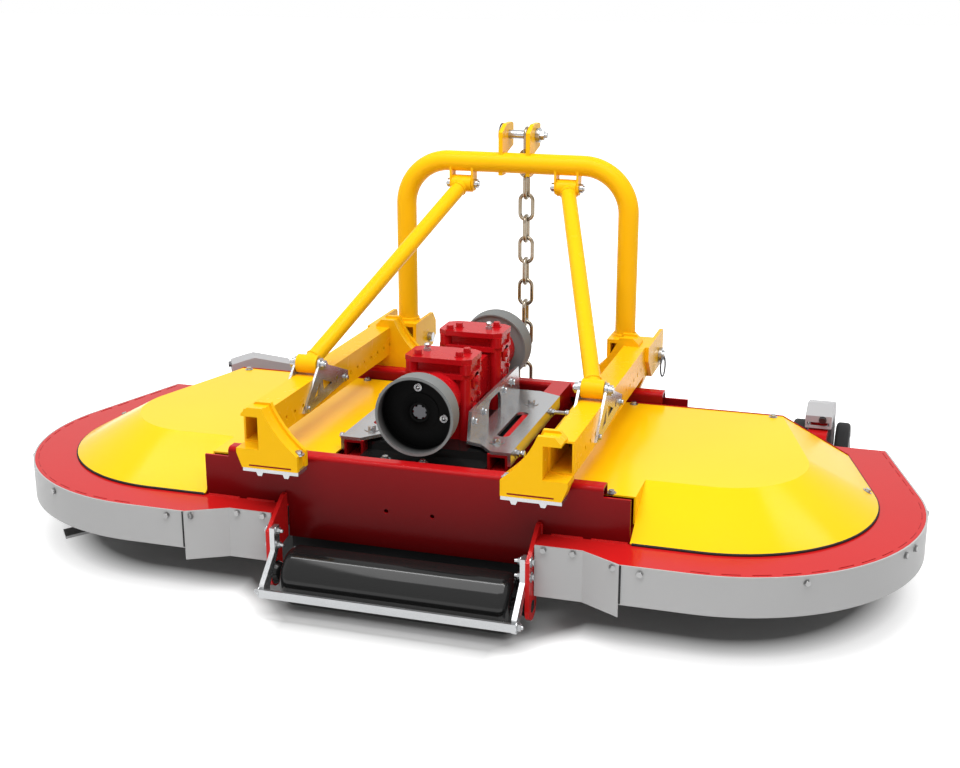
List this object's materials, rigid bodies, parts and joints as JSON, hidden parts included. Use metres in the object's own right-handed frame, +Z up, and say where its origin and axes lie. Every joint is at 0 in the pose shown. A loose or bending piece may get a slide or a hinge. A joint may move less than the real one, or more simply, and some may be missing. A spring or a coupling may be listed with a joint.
{
  "type": "disc mower",
  "caption": "Hitch-mounted disc mower with a round-ended deck, belt hoods, skirts, hitch hoop with stays and chain, rear roller, castor wheels and guarded drive shafts.",
  "frame": {"origin": "on the ground under the middle of the machine's box", "axes": "+X across the machine to its right seen from the roller, +Y towards the tractor, +Z up"},
  "size_m": [2.3398, 1.341, 1.041],
  "materials": {
    "red_paint": "gloss",
    "beam_red": "gloss",
    "cast_red": "satin",
    "yellow_paint": "gloss",
    "hood_yellow": "gloss",
    "grey_sheet": "satin",
    "fork_grey": "satin",
    "zinc": "satin",
    "chain_zinc": "satin",
    "guard_grey": "matte",
    "roller_black": "gloss",
    "steel": "satin",
    "knife_steel": "satin",
    "tyre": "matte"
  },
  "bodies": {
    "frame": {"deck": "red_paint", "near_beam": "beam_red", "far_beam": "beam_red", "centre_frame": "beam_red", "hood_left": "hood_yellow", "hood_right": "hood_yellow", "skirt_left": "grey_sheet", "skirt_right": "grey_sheet", "deflectors": "grey_sheet", "roller_plates": "red_paint", "roller_arms": "zinc", "scraper_bar": "zinc", "rail_left": "yellow_paint", "rail_right": "yellow_paint", "near_brackets": "yellow_paint", "far_brackets": "yellow_paint", "clamp_plates": "zinc", "hoop": "yellow_paint", "hitch_feet": "yellow_paint", "link_plates": "yellow_paint", "lower_pins": "zinc", "top_ears": "yellow_paint", "top_pin": "zinc", "stay_left": "yellow_paint", "stay_right": "yellow_paint", "stay_lugs": "yellow_paint", "stay_pins": "zinc", "stay_gussets": "zinc", "chain": "chain_zinc", "gearbox_near": "cast_red", "gearbox_far": "cast_red", "gearbox_plates": "zinc", "gear_tray": "roller_black", "cone_near": "guard_grey", "cone_far": "guard_grey", "castor_arms": "red_paint", "spindle_housings": "red_paint"},
    "roller": {"roller": "roller_black"},
    "rotor_left": {"disc_left": "steel", "knives_left": "knife_steel"},
    "rotor_right": {"disc_right": "steel", "knives_right": "knife_steel"},
    "drive_near": {"pto_near": "steel"},
    "drive_far": {"pto_far": "steel"},
    "castor_left": {"fork_left": "fork_grey"},
    "castor_right": {"fork_right": "fork_grey"},
    "castor_wheels_left": {"wheels_left": "tyre"},
    "castor_wheels_right": {"wheels_right": "tyre"}
  },
  "joints": [
    {"name": "roller_spin", "type": "hinge", "parent": "frame", "child": "roller", "pos_m": [0, -0.5635, 0.072], "axis": [1, 0, 0], "continuous": true},
    {"name": "rotor_left_spin", "type": "hinge", "parent": "frame", "child": "rotor_left", "pos_m": [-0.6825, -0.1245, 0.07], "axis": [0, 0, 1], "continuous": true},
    {"name": "rotor_right_spin", "type": "hinge", "parent": "frame", "child": "rotor_right", "pos_m": [0.6825, -0.1245, 0.07], "axis": [0, 0, 1], "continuous": true},
    {"name": "drive_near_spin", "type": "hinge", "parent": "frame", "child": "drive_near", "pos_m": [0, -0.3545, 0.458], "axis": [0, 1, 0], "continuous": true},
    {"name": "drive_far_spin", "type": "hinge", "parent": "frame", "child": "drive_far", "pos_m": [0, 0.1555, 0.458], "axis": [0, 1, 0], "continuous": true},
    {"name": "castor_left_swivel", "type": "hinge", "parent": "frame", "child": "castor_left", "pos_m": [-0.875, 0.4155, 0.25], "axis": [0, 0, 1], "range_deg": [-15, 135]},
    {"name": "castor_right_swivel", "type": "hinge", "parent": "frame", "child": "castor_right", "pos_m": [0.875, 0.4155, 0.25], "axis": [0, 0, 1], "range_deg": [-75, 75]},
    {"name": "castor_left_roll", "type": "hinge", "parent": "castor_left", "child": "castor_wheels_left", "pos_m": [-0.7451, 0.4905, 0.105], "axis": [0.5, -0.866, 0], "continuous": true},
    {"name": "castor_right_roll", "type": "hinge", "parent": "castor_right", "child": "castor_wheels_right", "pos_m": [0.875, 0.5655, 0.105], "axis": [1, 0, 0], "continuous": true}
  ],
  "couplings": [
    {"joint": "rotor_right_spin", "follows": "rotor_left_spin", "ratio": -1},
    {"joint": "drive_near_spin", "follows": "rotor_left_spin", "ratio": 0.28},
    {"joint": "drive_far_spin", "follows": "rotor_left_spin", "ratio": 0.28}
  ]
}
